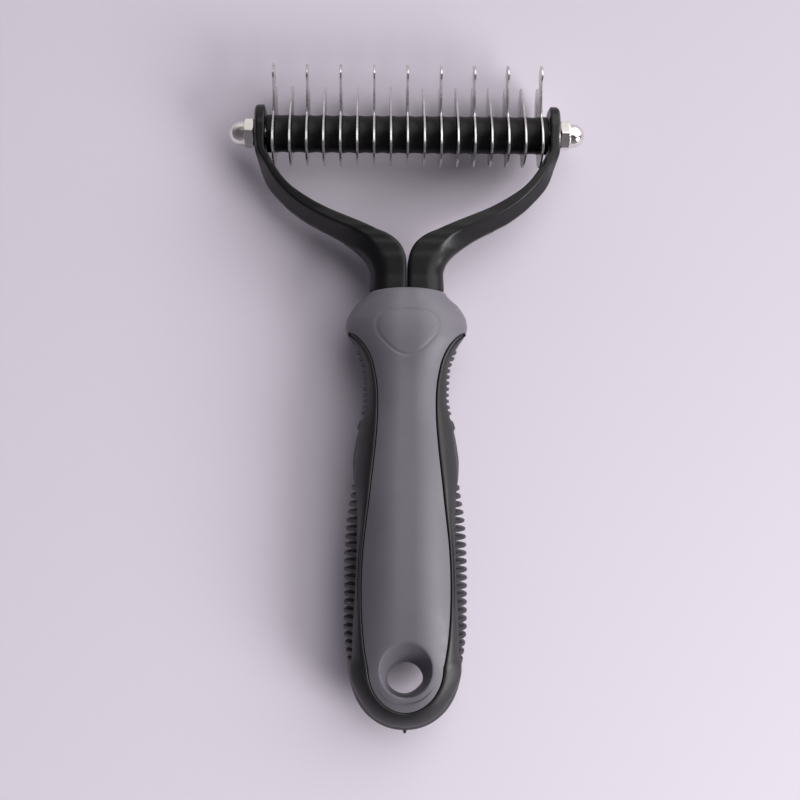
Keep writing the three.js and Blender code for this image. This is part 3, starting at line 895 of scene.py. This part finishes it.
v, f = yoke_mesh()
yoke = new_object("black_yoke_frame", v, f)
tidy(yoke)


def add_solid_block(name, rows):
    """Bar with rounded corners through [y, half width, half depth] rows."""
    verts = []
    n = 24
    for y, w, h in rows:
        for k in range(n):
            a = 2 * math.pi * k / n
            c, s = math.cos(a), math.sin(a)
            verts.append((w * np.sign(c) * abs(c) ** 0.45, y, h * np.sign(s) * abs(s) ** 0.45))
    faces = grid_faces(len(rows), n, wrap=True)
    faces.append(tuple(range(n)))
    faces.append(tuple(len(verts) - 1 - k for k in range(n)))
    ob = new_object(name, verts, faces)
    return tidy(ob)


core_bar = add_solid_block("core_bar", [(-42.9, 8.4, 5.0), (-46, 8.4, 5.0), (-56, 8.4, 5.0), (-68, 7.2, 4.9), (-80, 7.2, 4.9), (-96, 8.4, 4.9), (-128, 8.8, 4.9), (-140, 8.2, 4.7)])


def boolean(target, cutter, operation, solver="EXACT"):
    mod = target.modifiers.new("bool", "BOOLEAN")
    mod.operation = operation
    mod.object = cutter
    mod.solver = solver
    apply_modifiers(target)
    mesh = cutter.data
    bpy.data.objects.remove(cutter)
    bpy.data.meshes.remove(mesh)
    return target


def cylinder_x(name, radius, x0, x1, n=48):
    verts = [(x, radius * math.cos(2 * math.pi * k / n), radius * math.sin(2 * math.pi * k / n)) for x in (x0, x1) for k in range(n)]
    faces = grid_faces(2, n, wrap=True)
    faces += [tuple(range(n))[::-1], tuple(range(n, 2 * n))]
    return tidy(new_object(name, verts, faces))


boolean(yoke, core_bar, "UNION")
boolean(yoke, cylinder_x("bore_r", 2.75, 36, 46), "DIFFERENCE")
boolean(yoke, cylinder_x("bore_l", 2.75, -46, -36), "DIFFERENCE")
sharpen(yoke, 42)
dress(yoke, BLACK_HARD)
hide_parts("core_frame")
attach(yoke, "handle")

# ------------------------------------------------------------------ comb head
HEAD = "comb_head"
PITCH, BLADE_T = 4.68, 0.6
LOBE = [(-5.2, 7.35), (-3.9, 7.85), (-2.0, 7.75), (0, 7.3), (1.8, 6.4), (3.4, 5.2)]
LONG_CLAW = [(4.8, 4.25), (6.8, 4.2), (9.1, 4.5), (12.0, 4.8), (14.65, 5.05), (14.9, 5.5), (15.8, 5.8),
             (17.1, 5.5), (18.2, 4.6), (18.85, 3.3), (18.8, 1.9), (18.1, 0.4), (16.8, -0.7),
             (14.6, -0.5), (12.4, -0.1), (11.3, -0.35), (11.0, -1.1)]
SHORT_EDGE = [(4.8, 3.85), (6.9, 2.3), (8.9, 0.85), (10.6, -0.7)]
SHORT_CLAW = [(11.8, -2.3), (13.2, -3.8), (14.3, -4.75), (14.7, -5.6), (14.5, -7.2), (13.4, -8.95),
              (11.2, -9.85), (8.3, -10.3), (5.2, -10.8), (2.4, -11.35), (0.9, -11.45), (0.3, -11.0),
              (0.6, -10.3), (2.6, -9.3), (5.0, -7.9), (7.2, -6.2), (8.8, -4.9), (9.7, -3.9),
              (9.7, -3.0), (8.9, -2.4), (7.6, -2.5), (5.8, -3.8), (3.6, -5.3), (1.0, -6.4),
              (-2.0, -6.6), (-5.4, -5.6), (-7.6, -4.2), (-8.6, -2.5), (-8.75, -0.5), (-8.3, 2.0),
              (-7.5, 4.3), (-6.4, 6.1)]


def inset_loop(loop, d):
    """Move a counter-clockwise loop inward by d (one value per point)."""
    nxt, prv = np.roll(loop, -1, 0), np.roll(loop, 1, 0)
    t = nxt - prv
    t /= np.linalg.norm(t, axis=1)[:, None] + 1e-12
    normal = np.stack([-t[:, 1], t[:, 0]], 1)
    return loop + normal * np.asarray(d)[:, None]


def blade_mesh(name, long):
    pts = LOBE + (LONG_CLAW if long else SHORT_EDGE) + SHORT_CLAW
    loop = closed_spline(pts)
    area = 0.5 * np.sum(loop[:, 0] * np.roll(loop[:, 1], -1) - np.roll(loop[:, 0], -1) * loop[:, 1])
    if area < 0:
        loop = loop[::-1]
    y, z = loop[:, 0], loop[:, 1]
    # ground cutting edges: inner edge of the long claw and inner edge of the short one
    sharp = np.zeros(len(loop))
    if long:
        sharp = np.where((y > 4.6) & (y < 14.8) & (z > 3.4), smooth01((y - 4.6) / 1.2) * (1 - smooth01((y - 14.4) / 0.4)), sharp)
    inner = (y > 1.6) & (y < 9.9) & (z < -2.9) & (z > -9.9) & (z < -2.9 - (9.7 - y) * 0.3) & (z > -10.6 + (y - 0.3) * 0.62)
    sharp = np.where(inner, smooth01((y - 1.4) / 1.5), sharp)
    bevel = 0.1 + 0.75 * sharp
    half = BLADE_T / 2
    edge = 0.2 * (1 - 0.8 * sharp)
    ring_face = inset_loop(loop, bevel)
    hole = np.array([(-2.55, -2.55), (2.55, -2.55), (2.55, 2.55), (-2.55, 2.55)])
    hole = np.concatenate([np.linspace(hole[i], hole[(i + 1) % 4], 7)[:-1] for i in range(4)])
    n = len(loop)
    bm = bmesh.new()
    rings = []
    for x, lp in ((half, ring_face), (edge, loop), (-edge, loop), (-half, ring_face)):
        xs = x if np.ndim(x) else np.full(n, x)
        rings.append([bm.verts.new((float(a), float(b[0]), float(b[1]))) for a, b in zip(xs, lp)])
    for r0, r1 in zip(rings[:-1], rings[1:]):
        for i in range(n):
            j = (i + 1) % n
            bm.faces.new((r0[i], r1[i], r1[j], r0[j]))
    holes = []
    for x in (half, -half):
        holes.append([bm.verts.new((x, float(p[0]), float(p[1]))) for p in hole])
    h = len(hole)
    for i in range(h):
        j = (i + 1) % h
        bm.faces.new((holes[0][i], holes[0][j], holes[1][j], holes[1][i]))
    bm.verts.ensure_lookup_table()
    for ring, hl in ((rings[0], holes[0]), (rings[3], holes[1])):
        edges = []
        for lp in (ring, hl):
            for i in range(len(lp)):
                a, b = lp[i], lp[(i + 1) % len(lp)]
                e = bm.edges.get((a, b)) or bm.edges.new((a, b))
                edges.append(e)
        bmesh.ops.triangle_fill(bm, use_beauty=True, use_dissolve=False, edges=edges)
    bmesh.ops.recalc_face_normals(bm, faces=bm.faces)
    mesh = bpy.data.meshes.new(name)
    for vert in bm.verts:
        vert.co = Vector((vert.co.x * MM, vert.co.y * MM, vert.co.z * MM))
    bm.to_mesh(mesh)
    bm.free()
    return mesh


def place(mesh_mm, name, x, flip=False):
    """Copy a local mesh (metres, about the shaft axis) to its place along the shaft."""
    mesh = mesh_mm.copy()
    mesh.name = name
    ob = bpy.data.objects.new(name, mesh)
    bpy.context.scene.collection.objects.link(ob)
    co = np.zeros(len(mesh.vertices) * 3)
    mesh.vertices.foreach_get("co", co)
    co = co.reshape(-1, 3)
    if flip:
        co[:, 0] *= -1
    co += np.array([x, SHAFT_Y, SHAFT_Z]) * MM
    mesh.vertices.foreach_set("co", co.ravel())
    if flip:
        mesh.flip_normals()
    mesh.update()
    return ob


long_mesh = blade_mesh("long_blade", True)
short_mesh = blade_mesh("short_blade", False)
for k in range(17):
    long = k % 2 == 0
    name = "blade_%02d_%s" % (k + 1, "long" if long else "short")
    ob = place(long_mesh if long else short_mesh, "steel_" + name, (k - 8) * PITCH)
    sharpen(ob, 22)
    dress(ob, STEEL)
    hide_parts(name)
    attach(ob, HEAD)


def lathe_x(name, profile, n=56, closed=True):
    """Turn a profile of (x, r) about the shaft."""
    verts = []
    for x, r in profile:
        for k in range(n):
            a = 2 * math.pi * k / n
            verts.append((x * MM, r * math.cos(a) * MM, r * math.sin(a) * MM))
    faces = grid_faces(len(profile), n, wrap=True)
    if closed:
        m = len(profile)
        for k in range(n):
            faces.append(((m - 1) * n + k, (m - 1) * n + (k + 1) % n, (k + 1) % n, k))
    mesh = bpy.data.meshes.new(name)
    mesh.from_pydata(verts, [], faces)
    bm = bmesh.new()
    bm.from_mesh(mesh)
    bmesh.ops.remove_doubles(bm, verts=bm.verts, dist=1e-7)
    bmesh.ops.recalc_face_normals(bm, faces=bm.faces)
    if bm.calc_volume(signed=True) < 0:
        bmesh.ops.reverse_faces(bm, faces=bm.faces)
    bm.to_mesh(mesh)
    bm.free()
    mesh.polygons.foreach_set("use_smooth", [True] * len(mesh.polygons))
    return mesh


def ring_profile(length, waist):
    h = length / 2
    f = 0.3
    out = [(-h, 3.7), (-h, 5.25 - f)]
    for a in np.linspace(0, math.pi / 2, 5)[1:]:
        out.append((-h + f - f * math.cos(a), 5.25 - f + f * math.sin(a)))
    for s in np.linspace(0, 1, 13)[1:-1]:
        x = -h + f + (2 * h - 2 * f) * s
        out.append((x, 5.25 - waist * math.sin(math.pi * s) ** 1.0))
    for a in np.linspace(math.pi / 2, 0, 5)[:-1]:
        out.append((h - f + f * math.cos(a), 5.25 - f + f * math.sin(a)))
    out += [(h, 5.25 - f), (h, 3.7)]
    return out


spacer_mesh = lathe_x("spacer", ring_profile(PITCH - BLADE_T - 0.04, 0.2))
for k in range(16):
    name = "spacer_%02d" % (k + 1)
    ob = place(spacer_mesh, "black_" + name, (k - 7.5) * PITCH)
    sharpen(ob, 40)
    dress(ob, SPACER)
    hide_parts(name)
    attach(ob, HEAD)
face = 8 * PITCH + BLADE_T / 2
collar_mesh = lathe_x("collar", ring_profile(39.45 - face - 0.03, 0.0))
for side, name in ((1, "right_end_collar"), (-1, "left_end_collar")):
    ob = place(collar_mesh, "black_" + name, side * (39.45 + face) / 2)
    sharpen(ob, 40)
    dress(ob, SPACER)
    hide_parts(name)
    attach(ob, HEAD)


def nut_mesh():
    """Acorn nut on +X, its flat side against the arm."""
    af = 7.4 / 2
    n = 120
    x0, tip, hexlen = 42.9, 50.0, 2.85

    def hexr(a):
        m = (a + math.pi / 2) % (math.pi / 3) - math.pi / 6
        return af / math.cos(m)

    rows = []
    # bore, face, first chamfer, flats, second chamfer, dome
    rows.append([(x0 + 4.2, 2.6)] * n)
    rows.append([(x0, 2.6)] * n)
    rows.append([(x0, 3.45)] * n)
    angles = [2 * math.pi * k / n for k in range(n)]
    for x in (0.08, 0.2, 0.34):
        rows.append([(x0 + x, min(hexr(a), 3.5 + x * 2.1)) for a in angles])
    for x in (0.5, 1.4, hexlen - 0.5):
        rows.append([(x0 + x, min(hexr(a), 4.24)) for a in angles])
    for x in (0.36, 0.22, 0.1, 0.0):
        rows.append([(x0 + hexlen - x, min(hexr(a), 3.5 + x * 1.9)) for a in angles])
    rows.append([(x0 + hexlen + 0.02, 3.42)] * n)
    rows.append([(x0 + hexlen + 0.12, 3.36)] * n)
    rows.append([(x0 + hexlen + 0.7, 3.34)] * n)
    start = x0 + hexlen + 0.9
    rise = tip - start
    for k in range(0, 15):
        a = k / 15 * math.pi / 2
        rows.append([(start + rise * math.sin(a), 3.33 * math.cos(a) ** 0.94)] * n)
    verts = []
    for row in rows:
        for (x, r), a in zip(row, angles):
            verts.append((x * MM, r * math.cos(a) * MM, r * math.sin(a) * MM))
    faces = grid_faces(len(rows), n, wrap=True)
    top = len(verts)
    verts.append((tip * MM, 0, 0))
    last = (len(rows) - 1) * n
    for k in range(n):
        faces.append((last + k, last + (k + 1) % n, top))
    bottom = len(verts)
    verts.append(((x0 + 4.4) * MM, 0, 0))
    for k in range(n):
        faces.append(((k + 1) % n, k, bottom))
    mesh = bpy.data.meshes.new("acorn_nut")
    mesh.from_pydata(verts, [], faces)
    bm = bmesh.new()
    bm.from_mesh(mesh)
    bmesh.ops.recalc_face_normals(bm, faces=bm.faces)
    if bm.calc_volume(signed=True) < 0:
        bmesh.ops.reverse_faces(bm, faces=bm.faces)
    bm.to_mesh(mesh)
    bm.free()
    return mesh


acorn = nut_mesh()
for flip, name in ((False, "right_acorn_nut"), (True, "left_acorn_nut")):
    ob = place(acorn, "nickel_" + name, 0.0, flip=flip)
    sharpen(ob, 24)
    dress(ob, NICKEL)
    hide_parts(name)
    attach(ob, HEAD)

dress(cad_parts["shaft"], STEEL)

# ------------------------------------------------------------------ floor and light
def floor_material(nt, bsdf):
    v = coords(nt)
    big = noise(nt, v, 6, 2, 0.5)
    fine = noise(nt, v, 900, 3, 0.6)
    sep = nt.nodes.new("ShaderNodeSeparateXYZ")
    nt.links.new(v, sep.inputs[0])
    # painted light: the floor colour runs from darker toward +Y and +X to lighter toward -Y and -X, a painted fall-off
    # of the lamps' light across the table; the big noise added on top is random mottle
    slope = math_node(nt, "ADD", math_node(nt, "MULTIPLY", sep.outputs["Y"], -4.0), math_node(nt, "MULTIPLY", sep.outputs["X"], -1.3))
    painted_falloff_and_mottle = math_node(nt, "ADD", span(nt, slope, 0.05, 0.91, -1.0, 1.0), math_node(nt, "MULTIPLY", big, 0.04))
    color = ramp(nt, painted_falloff_and_mottle, [(0.0, (0.530, 0.488, 0.560)), (1.0, (0.800, 0.746, 0.836))])
    nt.links.new(color, bsdf.inputs["Base Color"])
    bsdf.inputs["Roughness"].default_value = 0.7
    bsdf.inputs["Specular IOR Level"].default_value = 0.2
    bump(nt, bsdf, fine, 0.04, 0.0001)


bpy.ops.mesh.primitive_plane_add(size=6.0, location=(0, 0, 0))
floor = bpy.context.object
floor.name = "studio_floor"
dress(floor, material("pale_lavender_table", floor_material))

world = bpy.data.worlds.new("studio")
bpy.context.scene.world = world
world.use_nodes = True
wn = world.node_tree
back = wn.nodes["Background"]
# a studio room: pale overhead, darker toward the horizon, so that metal has something to mirror
gen = wn.nodes.new("ShaderNodeTexCoord")
sep = wn.nodes.new("ShaderNodeSeparateXYZ")
wn.links.new(gen.outputs["Generated"], sep.inputs[0])
sky = ramp(wn, sep.outputs["Z"], [(0.0, (0.30, 0.29, 0.33)), (0.15, (0.30, 0.29, 0.33)), (0.5, (0.2, 0.19, 0.22)), (0.85, (0.11, 0.105, 0.12))])
low = span(wn, sep.outputs["Z"], 1.0, 0.0, 0.35, 0.75)
head_wall = math_node(wn, "MULTIPLY", span(wn, sep.outputs["Y"], 0.0, 1.0, 0.25, 0.75), low)
sky = mix_color(wn, math_node(wn, "MULTIPLY", head_wall, 0.75), sky, (0.95, 0.92, 0.92))
left = span(wn, sep.outputs["X"], 0.45, 0.0, -0.9, -0.1)
sky = mix_color(wn, left, sky, (0.05, 0.048, 0.055))
wn.links.new(sky, back.inputs["Color"])
back.inputs["Strength"].default_value = 1.0


def area(name, location, target, size, power, color=(1, 1, 1)):
    data = bpy.data.lights.new(name, "AREA")
    data.shape = "RECTANGLE"
    data.size, data.size_y = size
    data.energy = power
    data.color = color
    ob = bpy.data.objects.new(name, data)
    bpy.context.scene.collection.objects.link(ob)
    ob.location = location
    ob.rotation_euler = (Vector(target) - Vector(location)).to_track_quat("-Z", "Y").to_euler()
    return ob


area("key_softbox", (0.60, 0.56, 0.76), (0, 0, 0.01), (1.5, 1.5), 15.4, (1.0, 0.99, 0.99))
area("right_softbox", (0.80, -0.46, 0.52), (0, -0.05, 0.01), (0.5, 0.5), 8.0, (1.0, 0.985, 0.98))
bpy.context.scene.view_settings.view_transform = "Standard"
